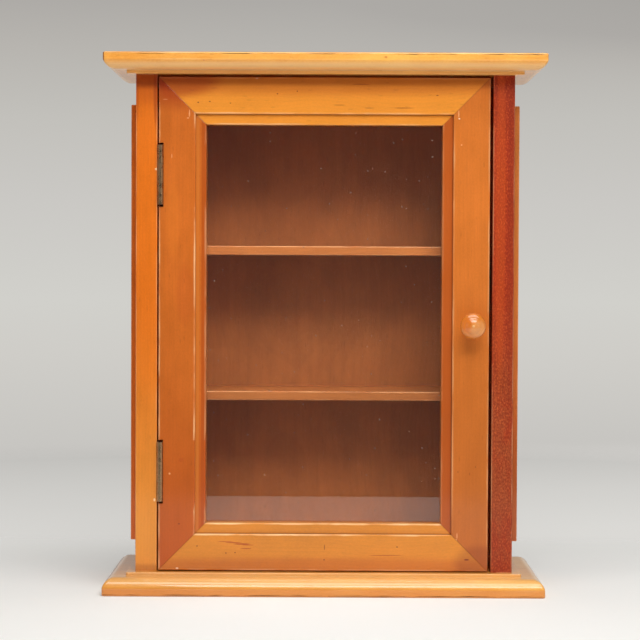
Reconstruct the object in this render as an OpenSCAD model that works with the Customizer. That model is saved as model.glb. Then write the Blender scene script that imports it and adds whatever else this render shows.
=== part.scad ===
// Small wooden display case: a shallow cabinet with two fixed shelves,
// moulded top and base boards and a glazed door on two butt hinges.

/* [Body] */
// Width over the two side boards
body_w = 304; // [260:1:380]
// Height of the side boards, from the base board to the top board
body_h = 400; // [380:1:480]
// Depth from the front edges of the sides to the rear
body_d = 102; // [80:1:150]
// Thickness of the side boards
side_t = 17.25; // [15:0.25:20]
// Radius of the eased edges on the boards and the door
arris_r = 0.8; // [0.4:0.1:1.2]

/* [Top and base boards] */
// Thickness of the top board
top_t = 15.5; // [14.5:0.5:18]
// Thickness of the base board
base_t = 16.5; // [14.5:0.5:18]
// Reach of the top board past the body, in front and at both ends
top_overhang = 24; // [22:0.5:30]
// Reach of the base board past the body, in front and at both ends
base_overhang = 24.5; // [22:0.5:30]

/* [Moulded edges] */
// Height of the square fillet at the outer edge
edge_fillet_h = 6; // [5:0.5:8]
// Width of the convex round next to the fillet
edge_round_w = 9.6; // [9.5:0.1:11]
// Height of the step between the ledge and the body
edge_step_h = 2.5; // [1.5:0.5:3]
// Reach of that step past the body
edge_step_out = 7; // [4:0.5:10]

/* [Back] */
// Thickness of the back panel
back_t = 5; // [4:0.5:8]
// Width of the rebate in each side board that holds the back panel
back_rebate_w = 7; // [5:0.5:9]
// Gap between the edges of the back panel and what frames it
back_gap = 0.4; // [0.2:0.1:0.8]
// Nails along each side of the back panel
back_nails = 5; // [3:1:6]

/* [Shelves] */
// Thickness of both shelves
shelf_t = 7.5; // [6:0.5:10]
// Clear height of the lowest bay
lower_bay_h = 137; // [120:1:150]
// Clear height of the middle bay
middle_bay_h = 111; // [100:1:125]
// Distance of the shelves' front edges behind the front of the body
shelf_setback = 22; // [21:0.5:30]
// Depth of the groove in each side board that holds a shelf end
shelf_groove = 5; // [3:0.5:7]

/* [Raised side panels] */
// Thickness of the panel glued on each outer side
raised_t = 5.6; // [4:0.2:8]
// Margin in front of and behind each raised panel
raised_margin_d = 18; // [12:1:26]
// Margin above and below each raised panel
raised_margin_h = 23; // [15:1:40]

/* [Door] */
// Thickness of the door frame
door_t = 18; // [17:0.5:20]
// Width of the stiles and rails
member_w = 38; // [34:0.5:46]
// Gap at the hinged edge
gap_hinge = 1.2; // [1:0.1:1.5]
// Gap at the opening edge
gap_latch = 2.4; // [1.5:0.1:3]
// Gap under the top board
gap_top = 2; // [1:0.1:3]
// Gap over the base board
gap_bottom = 0.9; // [0.6:0.1:2]
// Width of the sunk moulding round the glass
sunk_w = 8.5; // [6:0.5:10]
// Depth of that moulding
sunk_depth = 3; // [2:0.5:4]
// Thickness of the lip in front of the glass
lip_t = 7; // [4:0.5:7]
// Width of the rebate behind the lip
glass_rebate_w = 7; // [5:0.5:8]
// Length of the spline in each mitred corner
spline_len = 20; // [12:1:22]

/* [Glass] */
// Thickness of the glass
glass_t = 2.5; // [2:0.5:3]
// Gap between the glass edges and the rebate
glass_gap = 1; // [0.5:0.1:2]

/* [Knob] */
// Diameter of the knob
knob_d = 20.5; // [18:0.5:26]
// Reach of the knob in front of the door
knob_reach = 21; // [18:0.5:22]
// Diameter of the knob's neck
neck_d = 10; // [9:0.5:12]
// Distance from the door's opening edge to the middle of the knob
knob_inset = 14; // [13:0.5:16]

/* [Hinges] */
// Length of each hinge
hinge_len = 48; // [44:1:56]
// Distance from each end of the body to the middle of its hinge
hinge_inset = 80.5; // [60:0.5:110]
// Width of one leaf, from the pin to its free edge
leaf_w = 13; // [11:0.5:15]
// Thickness of the leaves
leaf_t = 1.1; // [1:0.1:1.2]
// Outer radius of the knuckles
knuckle_r = 2.2; // [2.1:0.1:2.5]
// Radius of the hinge pin
pin_r = 1.1; // [0.9:0.1:1.2]
// Distance of the pin in front of the door's face
pin_ahead = 0.7; // [0.5:0.1:1.5]

/* [Catch] */
// Gap between the magnetic catch and the upper shelf over it
catch_gap = 3; // [1:0.5:20]
// Length of the catch housing without its ears
catch_len = 26; // [22:1:28]
// Width of the catch housing
catch_w = 13; // [11:0.5:14]
// Depth of the catch housing
catch_d = 15; // [12:0.5:18]

/* [Fasteners] */
// Diameter of the dowels under the top board
dowel_d = 6; // [5:0.5:8]
// Length of those dowels
dowel_len = 22; // [16:1:22]
// Length of the screws under the base board
base_screw_len = 40; // [30:1:50]
// Length of the hinge screws
hinge_screw_len = 12; // [8:0.5:14]

/* [Hidden] */
$fn = 48;

// Clearances: bare contact in a bored hole, a running fit, and a free gap
fit = 0.05;
free_gap = 0.3;
// Overlap of a cutting tool past the face that it cuts
cut = 1;

// The modules work from the middle of the body's front plane, at the top
// face of the base board. The part's origin is the middle of its footprint.
front_reach = max(base_overhang, top_overhang, knob_reach);
front_y = front_reach - (body_d + front_reach) / 2;
inner_w = body_w - 2 * side_t;
inner_x = inner_w / 2;
back_front_y = body_d - back_t;

lower_shelf_z = lower_bay_h;
upper_shelf_z = lower_bay_h + shelf_t + middle_bay_h;

door_x0 = -inner_x + gap_hinge;
door_x1 = inner_x - gap_latch;
door_z0 = gap_bottom;
door_z1 = body_h - gap_top;
sight_x0 = door_x0 + member_w;
sight_x1 = door_x1 - member_w;
sight_z0 = door_z0 + member_w;
sight_z1 = door_z1 - member_w;
glass_y = sunk_depth + lip_t;
bead_y = glass_y + glass_t;
bead_t = door_t - bead_y;
knob_x = door_x1 - knob_inset;
knob_z = (door_z0 + door_z1) / 2;

hinge_z = [hinge_inset, body_h - hinge_inset];
pin_x = -inner_x + knuckle_r + free_gap;
pin_y = -pin_ahead;
notch_end_gap = 1.75;
leaf_back_y = pin_y + leaf_w;
leaf_screw_y = pin_y + (knuckle_r + leaf_w) / 2;
leaf_screw_z = [-hinge_len / 2 + 7, 0, hinge_len / 2 - 7];
end_knuckle = 7.2;
door_knuckle = 7.8;

spline_t = 2.4;
spline_w = 14;
spline_y = door_t / 2;
spline_from_corner = 22;

hinge_screw_d = 2.2;
hinge_head_d = hinge_screw_d + 2 * leaf_t;
small_screw_d = 2.6;
small_head_d = 5;
small_screw_len = 12;
base_screw_d = 4;
base_head_d = 8;
base_head_sink = 1.5;
fastener_inset = 24;

brad_d = 1.2;
brad_head_d = 2.4;
brad_head_h = 0.8;
brad_len = 14;
bead_pin_d = 1;
bead_pin_len = 16;
bead_pins_high = 3;
bead_pins_wide = 2;
bead_pin_end = 30;

knob_screw_d = 4;
knob_screw_head_d = 8;
knob_screw_head_h = 2.2;
knob_screw_grip = 10;
knob_edge_r = 3.6;
knob_pip_r = 1.1;

strike_t = 1.2;
strike_w = 9;
strike_len = 30;
catch_y = door_t + strike_t + free_gap;
catch_ear_len = 8;
catch_reach = catch_len / 2 + catch_ear_len;
catch_z = upper_shelf_z - catch_gap - catch_reach;
catch_ear_t = 2.5;
pole_t = 1.4;
pole_out = 1;
magnet_t = 4;
magnet_len = catch_len - 5;
magnet_d = catch_d - 4;
strike_x = inner_x - catch_w / 2;

wood_light = [0.93, 0.62, 0.3];
wood_orange = [0.85, 0.48, 0.2];
wood_red = [0.62, 0.26, 0.12];
wood_dark = [0.36, 0.19, 0.11];
brass = [0.5, 0.42, 0.28];
steel = [0.66, 0.66, 0.68];

module place() {
    translate([0, front_y, base_t]) children();
}

// What has to be taken off a square corner to round it
module corner_off(r) {
    difference() {
        translate([-cut, -cut]) square(r + cut);
        translate([r, r]) circle(r);
    }
}

// A rectangle with chosen corners rounded: front left, front right
module board_section(w, d, r) {
    difference() {
        square([w, d]);
        corner_off(r);
        translate([w, 0]) mirror([1, 0]) corner_off(r);
    }
}

// Half of a moulded board in section, the outer edge at -overhang and the
// step face uppermost, running inwards for a given length
module mould_section(t, overhang, inward) {
    round_h = t - edge_fillet_h - edge_step_h;
    round_r = (edge_round_w * edge_round_w + round_h * round_h) / (2 * round_h);
    ledge_x = edge_round_w - overhang;
    difference() {
        translate([-overhang, 0]) square([overhang + inward, edge_fillet_h]);
        translate([-overhang, 0]) corner_off(arris_r);
    }
    translate([ledge_x, edge_fillet_h]) square([inward - ledge_x, round_h]);
    intersection() {
        translate([ledge_x, t - edge_step_h - round_r]) circle(round_r);
        translate([-overhang, edge_fillet_h]) square([edge_round_w, round_h]);
    }
    translate([-edge_step_out, t - edge_step_h]) square([inward + edge_step_out, edge_step_h]);
}

// A board moulded along its front and both ends, its underside at z = 0
module moulded_board(t, overhang) {
    reach = body_w / 2 + overhang + cut;
    intersection() {
        translate([-reach, 0, 0]) rotate([90, 0, 90]) linear_extrude(2 * reach)
            mould_section(t, overhang, body_d);
        translate([0, body_d + cut, 0]) rotate([90, 0, 0])
            linear_extrude(body_d + overhang + 2 * cut) {
                translate([-body_w / 2, 0]) mould_section(t, overhang, body_w / 2);
                mirror([1, 0]) translate([-body_w / 2, 0]) mould_section(t, overhang, body_w / 2);
            }
    }
}

// Countersunk screw, its head's face at z = 0 and its point downwards
module countersunk_screw(len, d, head_d) {
    head_h = (head_d - d) / 2;
    tip_h = d;
    slot_w = head_d / 7;
    difference() {
        union() {
            translate([0, 0, -head_h]) cylinder(h = head_h, d1 = d, d2 = head_d);
            translate([0, 0, tip_h - len]) cylinder(h = len - tip_h - head_h / 2, d = d);
            translate([0, 0, -len]) cylinder(h = tip_h, d1 = 0.2 * d, d2 = d);
        }
        translate([-head_d, -slot_w / 2, -head_h / 2]) cube([2 * head_d, slot_w, head_h]);
    }
}

// The hole that such a screw leaves, with a countersink when it has one
module screw_hole(len, d, head_d, sunk) {
    head_h = (head_d - d) / 2;
    translate([0, 0, -len - fit]) cylinder(h = len + fit + cut, d = d + 2 * fit);
    if (sunk) {
        translate([0, 0, -head_h]) cylinder(h = head_h, d1 = d + 2 * fit, d2 = head_d + 2 * fit);
        cylinder(h = cut, d = head_d + 2 * fit);
    }
}

// Places of the fasteners along the depth of the body
module at_depths() {
    for (y = [fastener_inset, body_d - fastener_inset]) translate([0, y, 0]) children();
}

module on_both_sides() {
    children();
    mirror([1, 0, 0]) children();
}

module at_base_screws() {
    on_both_sides() translate([(inner_w + side_t) / 2, 0, base_head_sink - base_t]) at_depths()
        mirror([0, 0, 1]) children();
}

module at_top_dowels() {
    on_both_sides() translate([(inner_w + side_t) / 2, 0, body_h]) at_depths() children();
}

// Side board without what only one of the two sides has, as the left one
module side_blank() {
    difference() {
        translate([-body_w / 2, 0, 0]) linear_extrude(body_h) board_section(side_t, body_d, arris_r);
        translate([-inner_x - back_rebate_w, back_front_y, -cut])
            cube([back_rebate_w + cut, back_t + cut, body_h + 2 * cut]);
        for (z = [lower_shelf_z, upper_shelf_z])
            translate([-inner_x - shelf_groove, shelf_setback, z])
                cube([shelf_groove + cut, body_d, shelf_t]);
        at_base_screws() screw_hole(base_screw_len, base_screw_d, base_head_d, false);
        at_top_dowels() translate([0, 0, -dowel_len / 2 - free_gap])
            cylinder(h = dowel_len, d = dowel_d + 2 * fit);
        at_back_nails() brad_hole();
    }
}

module base_board() {
    color(wood_light) place() difference() {
        translate([0, 0, -base_t]) moulded_board(base_t, base_overhang);
        at_base_screws() {
            screw_hole(base_screw_len, base_screw_d, base_head_d, true);
            cylinder(h = base_head_sink + cut, d = base_head_d + 2 * fit);
        }
    }
}

module top_board() {
    color(wood_light) place() difference() {
        translate([0, 0, body_h + top_t]) mirror([0, 0, 1]) moulded_board(top_t, top_overhang);
        at_top_dowels() translate([0, 0, -cut]) cylinder(h = dowel_len / 2 + free_gap + cut, d = dowel_d + 2 * fit);
    }
}

module left_side() {
    color(wood_orange) place() difference() {
        side_blank();
        at_frame_screws() screw_hole(hinge_screw_len, hinge_screw_d, hinge_head_d, false);
    }
}

module right_side() {
    color(wood_red) place() difference() {
        mirror([1, 0, 0]) side_blank();
        at_catch_screws() screw_hole(small_screw_len, small_screw_d, small_head_d, false);
    }
}

module back_panel() {
    w = inner_w + 2 * (back_rebate_w - back_gap);
    color(wood_dark) place() difference() {
        translate([-w / 2, back_front_y, back_gap]) cube([w, back_t, body_h - 2 * back_gap]);
        at_back_nails() brad_hole();
    }
}

module at_back_nails() {
    step = (body_h - 2 * fastener_inset) / (back_nails - 1);
    on_both_sides() for (i = [0 : back_nails - 1])
        translate([inner_x + back_rebate_w / 2, body_d, fastener_inset + i * step])
            rotate([-90, 0, 0]) children();
}

// Small nail, its head's face at z = 0 and its point downwards
module brad() {
    translate([0, 0, -brad_head_h]) cylinder(h = brad_head_h, d = brad_head_d);
    translate([0, 0, brad_d - brad_len]) cylinder(h = brad_len - brad_d - brad_head_h / 2, d = brad_d);
    translate([0, 0, -brad_len]) cylinder(h = brad_d, d1 = 0.2 * brad_d, d2 = brad_d);
}

module brad_hole() {
    translate([0, 0, -brad_len - fit]) cylinder(h = brad_len + cut, d = brad_d + 2 * fit);
    translate([0, 0, -brad_head_h]) cylinder(h = brad_head_h + cut, d = brad_head_d + 2 * fit);
}

module back_panel_nails() {
    color(steel) place() at_back_nails() brad();
}

// Shelf with its front edges eased, its ends in the grooves of the sides
module shelf(z) {
    w = inner_w + 2 * (shelf_groove - fit);
    d = back_front_y - shelf_setback - fit;
    t = shelf_t - 2 * fit;
    color(wood_orange) place() difference() {
        translate([-w / 2, back_front_y, z + fit]) rotate([90, 0, 90]) linear_extrude(w)
            mirror([1, 0]) difference() {
                square([d, t]);
                translate([d, 0]) mirror([1, 0]) corner_off(arris_r);
                translate([d, t]) mirror([1, 0]) mirror([0, 1]) corner_off(arris_r);
            }
        at_back_nails() brad_hole();
    }
}

module lower_shelf() {
    shelf(lower_shelf_z);
}

module upper_shelf() {
    shelf(upper_shelf_z);
}

// Raised panel on the left, its outer edges eased
module raised_panel() {
    d = body_d - 2 * raised_margin_d;
    h = body_h - 2 * raised_margin_h;
    translate([-body_w / 2 - raised_t, raised_margin_d, raised_margin_h]) difference() {
        cube([raised_t, d, h]);
        translate([0, 0, -cut]) linear_extrude(h + 2 * cut) corner_off(arris_r);
        translate([0, d, -cut]) linear_extrude(h + 2 * cut) mirror([0, 1]) corner_off(arris_r);
        translate([0, d + cut, 0]) rotate([90, 0, 0]) linear_extrude(d + 2 * cut) corner_off(arris_r);
        translate([0, d + cut, h]) rotate([90, 0, 0]) linear_extrude(d + 2 * cut)
            mirror([0, 1]) corner_off(arris_r);
    }
}

module left_raised_panel() {
    color(wood_orange) place() raised_panel();
}

module right_raised_panel() {
    color(wood_red) place() mirror([1, 0, 0]) raised_panel();
}

// Section of a stile or rail: x from the outer edge to the sight edge and
// y from the front face to the rear, with the sunk moulding, its two eased
// edges, the lip and the rebate
module member_section() {
    difference() {
        square([member_w, door_t]);
        corner_off(arris_r);
        translate([member_w - sunk_w, -cut]) square([sunk_w + cut, sunk_depth + cut]);
        translate([member_w - sunk_w, 0]) mirror([1, 0]) corner_off(arris_r);
        translate([member_w, sunk_depth]) mirror([1, 0]) corner_off(arris_r);
        translate([member_w - glass_rebate_w, glass_y]) square([glass_rebate_w + cut, door_t]);
    }
}

// A stick of a given section and length with both ends mitred inwards,
// standing on z = 0 with its outer edge at x = 0
module mitred_stick(len, w) {
    intersection() {
        linear_extrude(len) children();
        translate([0, door_t + cut, 0]) rotate([90, 0, 0]) linear_extrude(door_t + 2 * cut)
            polygon([[0, 0], [w, w], [w, len - w], [0, len]]);
    }
}

// Puts a stick at one side of the door frame: left, right, bottom, top
module at_left() {
    translate([door_x0, 0, door_z0]) children();
}

module at_right() {
    translate([door_x1, 0, door_z0]) mirror([1, 0, 0]) children();
}

module at_bottom() {
    translate([door_x0, 0, door_z0]) mirror([1, 0, -1]) children();
}

module at_top() {
    translate([door_x0, 0, door_z1]) rotate([0, 90, 0]) children();
}

module at_splines() {
    for (x = [0, 1]) for (z = [0, 1]) {
        dx = x == 0 ? 1 : -1;
        dz = z == 0 ? 1 : -1;
        along = spline_from_corner / sqrt(2);
        translate([(x == 0 ? door_x0 : door_x1) + dx * along, spline_y, (z == 0 ? door_z0 : door_z1) + dz * along])
            rotate([0, dx * dz > 0 ? -45 : 45, 0]) children();
    }
}

module spline_block(gap) {
    cube([spline_len + 2 * gap, spline_t + 2 * gap, spline_w + 2 * gap], center = true);
}

module door_corner_splines() {
    color(wood_light) place() at_splines() spline_block(0);
}

module door_member_cuts() {
    at_splines() spline_block(fit);
    at_bead_pins() bead_pin_hole();
}

module door_left_stile() {
    color(wood_orange) place() difference() {
        at_left() mitred_stick(door_z1 - door_z0, member_w) member_section();
        door_member_cuts();
        for (z = hinge_z) {
            translate([door_x0 - cut, -cut, z - hinge_len / 2 - notch_end_gap])
                cube([pin_x + knuckle_r - door_x0 + cut, leaf_back_y + free_gap + cut, hinge_len + 2 * notch_end_gap]);
            translate([door_x0 - cut, -cut, z - hinge_len / 2 - notch_end_gap])
                cube([pin_x + knuckle_r + free_gap - door_x0 + cut, pin_y + knuckle_r + free_gap + cut,
                    hinge_len + 2 * notch_end_gap]);
        }
        at_door_screws() screw_hole(hinge_screw_len, hinge_screw_d, hinge_head_d, false);
    }
}

module door_right_stile() {
    color(wood_orange) place() difference() {
        at_right() mitred_stick(door_z1 - door_z0, member_w) member_section();
        door_member_cuts();
        translate([knob_x, -cut, knob_z]) rotate([-90, 0, 0])
            cylinder(h = door_t + 2 * cut, d = knob_screw_d + 4 * fit);
        at_strike_screw() screw_hole(small_screw_len, small_screw_d, small_head_d, false);
    }
}

module door_top_rail() {
    color(wood_light) place() difference() {
        at_top() mitred_stick(door_x1 - door_x0, member_w) member_section();
        door_member_cuts();
    }
}

module door_bottom_rail() {
    color(wood_light) place() difference() {
        at_bottom() mitred_stick(door_x1 - door_x0, member_w) member_section();
        door_member_cuts();
    }
}

module door_glass() {
    reach = glass_rebate_w - glass_gap;
    color([0.8, 0.88, 0.88, 0.3]) place()
        translate([sight_x0 - reach, glass_y, sight_z0 - reach])
            cube([sight_x1 - sight_x0 + 2 * reach, glass_t, sight_z1 - sight_z0 + 2 * reach]);
}

// Glazing bead: fills the rebate behind the glass, its inner arris rounded
module bead_section() {
    translate([member_w - glass_rebate_w, bead_y]) difference() {
        square([glass_rebate_w, bead_t]);
        translate([glass_rebate_w, bead_t]) mirror([1, 0]) mirror([0, 1]) corner_off(3 * arris_r);
    }
}

module left_glass_bead() {
    color(wood_orange) place() difference() {
        at_left() mitred_stick(door_z1 - door_z0, member_w) bead_section();
        at_bead_pins() bead_pin_hole();
    }
}

module right_glass_bead() {
    color(wood_orange) place() difference() {
        at_right() mitred_stick(door_z1 - door_z0, member_w) bead_section();
        at_bead_pins() bead_pin_hole();
    }
}

module top_glass_bead() {
    color(wood_orange) place() difference() {
        at_top() mitred_stick(door_x1 - door_x0, member_w) bead_section();
        at_bead_pins() bead_pin_hole();
    }
}

module bottom_glass_bead() {
    color(wood_orange) place() difference() {
        at_bottom() mitred_stick(door_x1 - door_x0, member_w) bead_section();
        at_bead_pins() bead_pin_hole();
    }
}

// Frames whose +z points out of the bead, at the place of each pin
module at_bead_pins() {
    y = bead_y + bead_t / 2;
    step_z = (sight_z1 - sight_z0 - 2 * bead_pin_end) / (bead_pins_high - 1);
    step_x = (sight_x1 - sight_x0 - 2 * bead_pin_end) / (bead_pins_wide - 1);
    for (i = [0 : bead_pins_high - 1]) {
        translate([sight_x0, y, sight_z0 + bead_pin_end + i * step_z]) rotate([0, 90, 0]) children();
        translate([sight_x1, y, sight_z0 + bead_pin_end + i * step_z]) rotate([0, -90, 0]) children();
    }
    for (i = [0 : bead_pins_wide - 1]) {
        translate([sight_x0 + bead_pin_end + i * step_x, y, sight_z0]) children();
        translate([sight_x0 + bead_pin_end + i * step_x, y, sight_z1]) rotate([180, 0, 0]) children();
    }
}

module bead_pin_hole() {
    translate([0, 0, -bead_pin_len - fit]) cylinder(h = bead_pin_len + cut, d = bead_pin_d + 2 * fit);
}

module glass_bead_pins() {
    color(steel) place() at_bead_pins() {
        translate([0, 0, bead_pin_d - bead_pin_len]) cylinder(h = bead_pin_len - bead_pin_d, d = bead_pin_d);
        translate([0, 0, -bead_pin_len]) cylinder(h = bead_pin_d, d1 = 0.2 * bead_pin_d, d2 = bead_pin_d);
    }
}

// Turned knob, the seat at z = 0: neck, round-edged head, low dome and pip
module knob_section() {
    head_z = knob_reach - knob_pip_r / 2 - 2 * knob_edge_r - 2.2;
    dome_w = knob_d / 2 - knob_edge_r;
    dome_h = 2.2;
    dome_r = (dome_w * dome_w + dome_h * dome_h) / (2 * dome_h);
    square([neck_d / 2, head_z + knob_edge_r]);
    translate([0, head_z]) square([dome_w, 2 * knob_edge_r]);
    intersection() {
        translate([dome_w, head_z + knob_edge_r]) circle(knob_edge_r);
        translate([0, head_z]) square([knob_d, 2 * knob_edge_r]);
    }
    intersection() {
        translate([0, head_z + 2 * knob_edge_r + dome_h - dome_r]) circle(dome_r, $fn = 96);
        translate([0, head_z + 2 * knob_edge_r]) square([dome_w, dome_h]);
    }
    intersection() {
        translate([0, knob_reach - knob_pip_r]) circle(knob_pip_r);
        translate([0, knob_reach - 2 * knob_pip_r]) square(2 * knob_pip_r);
    }
}

module door_knob() {
    color(wood_light) place() translate([knob_x, 0, knob_z]) rotate([90, 0, 0]) difference() {
        rotate_extrude() knob_section();
        translate([0, 0, -cut]) cylinder(h = knob_screw_grip + free_gap + cut, d = knob_screw_d + 2 * fit);
    }
}

// Screw from the back of the stile into the knob
module knob_screw() {
    slot_w = 1.2;
    color(steel) place() translate([knob_x, door_t, knob_z]) rotate([-90, 0, 0]) difference() {
        union() {
            cylinder(h = knob_screw_head_h, d = knob_screw_head_d);
            translate([0, 0, -door_t - knob_screw_grip])
                cylinder(h = door_t + knob_screw_grip + knob_screw_head_h / 2, d = knob_screw_d);
        }
        translate([-knob_screw_head_d, -slot_w / 2, knob_screw_head_h / 2])
            cube([2 * knob_screw_head_d, slot_w, knob_screw_head_h]);
    }
}

// One knuckle of a hinge, between two heights measured from its lower end
module knuckle(from, to) {
    translate([pin_x, pin_y, from]) cylinder(h = to - from, r = knuckle_r);
}

// Room round a knuckle of the other leaf
module knuckle_room(from, to) {
    translate([pin_x - 2 * knuckle_r, pin_y - 2 * knuckle_r, from - free_gap / 2])
        cube([4 * knuckle_r, 3 * knuckle_r + free_gap, to - from + free_gap]);
}

// Leaf with its knuckles: the plate, the knuckles and the pin's bore
module leaf(plate_x, own, other) {
    difference() {
        union() {
            difference() {
                translate([plate_x, pin_y, 0]) cube([leaf_t, leaf_w, hinge_len]);
                for (k = other) knuckle_room(k[0], k[1]);
            }
            for (k = own) knuckle(k[0] + free_gap / 4, k[1] - free_gap / 4);
        }
        translate([pin_x, pin_y, -cut]) cylinder(h = hinge_len + 2 * cut, r = pin_r + fit);
    }
}

door_knuckles = [[end_knuckle, end_knuckle + door_knuckle],
    [hinge_len - end_knuckle - door_knuckle, hinge_len - end_knuckle]];
frame_knuckles = [[0, end_knuckle],
    [end_knuckle + door_knuckle, hinge_len - end_knuckle - door_knuckle],
    [hinge_len - end_knuckle, hinge_len]];

module frame_leaf(z) {
    difference() {
        translate([0, 0, z - hinge_len / 2]) leaf(-inner_x, frame_knuckles, door_knuckles);
        at_frame_screws() screw_hole(hinge_screw_len, hinge_screw_d, hinge_head_d, true);
    }
}

module door_leaf(z) {
    difference() {
        translate([0, 0, z - hinge_len / 2])
            leaf(pin_x + knuckle_r - leaf_t, door_knuckles, frame_knuckles);
        at_door_screws() screw_hole(hinge_screw_len, hinge_screw_d, hinge_head_d, true);
    }
}

module hinge_pin(z) {
    translate([pin_x, pin_y, z - hinge_len / 2]) cylinder(h = hinge_len, r = pin_r);
}

module at_frame_screws() {
    for (z = hinge_z) for (dz = leaf_screw_z)
        translate([-inner_x + leaf_t, leaf_screw_y, z + dz]) rotate([0, 90, 0]) children();
}

module at_door_screws() {
    for (z = hinge_z) for (dz = leaf_screw_z)
        translate([pin_x + knuckle_r - leaf_t, leaf_screw_y, z + dz]) rotate([0, -90, 0]) children();
}

module upper_hinge_frame_leaf() {
    color(brass) place() frame_leaf(hinge_z[1]);
}

module lower_hinge_frame_leaf() {
    color(brass) place() frame_leaf(hinge_z[0]);
}

module upper_hinge_door_leaf() {
    color(brass) place() door_leaf(hinge_z[1]);
}

module lower_hinge_door_leaf() {
    color(brass) place() door_leaf(hinge_z[0]);
}

module upper_hinge_pin() {
    color(steel) place() hinge_pin(hinge_z[1]);
}

module lower_hinge_pin() {
    color(steel) place() hinge_pin(hinge_z[0]);
}

module hinge_frame_screws() {
    color(brass) place() at_frame_screws() countersunk_screw(hinge_screw_len, hinge_screw_d, hinge_head_d);
}

module hinge_door_screws() {
    color(brass) place() at_door_screws() countersunk_screw(hinge_screw_len, hinge_screw_d, hinge_head_d);
}

// Room for the magnet and its pole plates in the housing, open to the door
module magnet_stack(gap, out) {
    translate([strike_x, catch_y + pole_out + magnet_d / 2 - out / 2, catch_z])
        cube([magnet_t + 2 * gap, magnet_d + out, magnet_len + 2 * gap], center = true);
}

module pole_stack(gap, out) {
    w = magnet_t + 2 * pole_t + 2 * gap;
    translate([strike_x - w / 2, catch_y - out, catch_z - magnet_len / 2 - gap])
        cube([w, pole_out + magnet_d + out, magnet_len + 2 * gap]);
}

module at_catch_screws() {
    for (s = [-1, 1])
        translate([inner_x - catch_ear_t, catch_y + catch_d / 2, catch_z + s * (catch_len + catch_ear_len) / 2])
            rotate([0, -90, 0]) children();
}

module catch_housing() {
    color([0.85, 0.83, 0.78]) place() difference() {
        union() {
            translate([inner_x - catch_w, catch_y + pole_out, catch_z - catch_len / 2])
                cube([catch_w, catch_d - pole_out, catch_len]);
            translate([inner_x - catch_ear_t, catch_y + pole_out, catch_z - catch_reach])
                cube([catch_ear_t, catch_d - pole_out, 2 * catch_reach]);
        }
        pole_stack(fit, cut);
        at_catch_screws() screw_hole(small_screw_len, small_screw_d, small_head_d, true);
    }
}

module catch_magnet() {
    color([0.2, 0.2, 0.22]) place() magnet_stack(0, 0);
}

module catch_pole_plates() {
    color(steel) place() difference() {
        pole_stack(0, 0);
        magnet_stack(fit, 2 * pole_out + cut);
    }
}

module catch_screws() {
    color(steel) place() at_catch_screws() countersunk_screw(small_screw_len, small_screw_d, small_head_d);
}

module at_strike_screw() {
    translate([strike_x, door_t + strike_t, catch_z]) rotate([-90, 0, 0]) children();
}

// The plate that the magnet holds, on the back of the door
module catch_strike_plate() {
    color(steel) place() difference() {
        translate([strike_x - strike_w / 2, door_t, catch_z - strike_len / 2])
            cube([strike_w, strike_t, strike_len]);
        at_strike_screw() screw_hole(small_screw_len, small_screw_d, small_head_d, true);
    }
}

module strike_screw() {
    color(steel) place() at_strike_screw() countersunk_screw(small_screw_len, small_screw_d, small_head_d);
}

module top_dowels() {
    color(wood_light) place() at_top_dowels() translate([0, 0, -dowel_len / 2]) cylinder(h = dowel_len, d = dowel_d);
}

module base_screws() {
    color(steel) place() at_base_screws() countersunk_screw(base_screw_len, base_screw_d, base_head_d);
}

base_board();
top_board();
left_side();
right_side();
back_panel();
lower_shelf();
upper_shelf();
left_raised_panel();
right_raised_panel();
door_left_stile();
door_right_stile();
door_top_rail();
door_bottom_rail();
door_corner_splines();
door_glass();
left_glass_bead();
right_glass_bead();
top_glass_bead();
bottom_glass_bead();
glass_bead_pins();
door_knob();
knob_screw();
upper_hinge_frame_leaf();
upper_hinge_door_leaf();
upper_hinge_pin();
lower_hinge_frame_leaf();
lower_hinge_door_leaf();
lower_hinge_pin();
hinge_frame_screws();
hinge_door_screws();
catch_housing();
catch_magnet();
catch_pole_plates();
catch_screws();
catch_strike_plate();
strike_screw();
top_dowels();
base_screws();
back_panel_nails();
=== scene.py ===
import math

import bmesh
import bpy
import numpy as np
from bpy.props import FloatProperty, FloatVectorProperty, PointerProperty
from bpy.types import Operator, Panel, PropertyGroup
from mathutils import Matrix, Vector
from mathutils.geometry import tessellate_polygon


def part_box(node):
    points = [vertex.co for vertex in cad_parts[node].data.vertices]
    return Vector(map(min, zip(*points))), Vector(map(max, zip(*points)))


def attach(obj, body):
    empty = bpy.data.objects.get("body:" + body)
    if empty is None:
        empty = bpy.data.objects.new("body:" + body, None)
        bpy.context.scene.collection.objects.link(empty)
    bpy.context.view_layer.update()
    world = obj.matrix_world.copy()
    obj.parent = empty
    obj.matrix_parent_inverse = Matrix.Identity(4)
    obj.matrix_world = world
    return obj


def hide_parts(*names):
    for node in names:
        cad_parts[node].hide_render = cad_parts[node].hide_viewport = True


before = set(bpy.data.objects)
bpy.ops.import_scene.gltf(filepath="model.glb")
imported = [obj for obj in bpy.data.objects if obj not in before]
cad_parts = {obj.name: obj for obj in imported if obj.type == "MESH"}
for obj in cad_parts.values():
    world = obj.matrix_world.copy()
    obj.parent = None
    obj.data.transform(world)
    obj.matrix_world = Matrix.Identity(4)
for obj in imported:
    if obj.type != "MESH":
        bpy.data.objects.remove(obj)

bl_info = {
    "name": "Glazed display case",
    "version": (1, 0, 0),
    "blender": (4, 5, 0),
    "location": "3D View > Sidebar > Display case",
    "description": "Builds the looks of a wooden display case with a glazed door",
    "category": "Object",
}

MM = 0.001
# Depths of the door's and sides' front, and of the bed of the door's moulding, in millimetres
FACE, MOULDING = -38.75, -35.75
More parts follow.
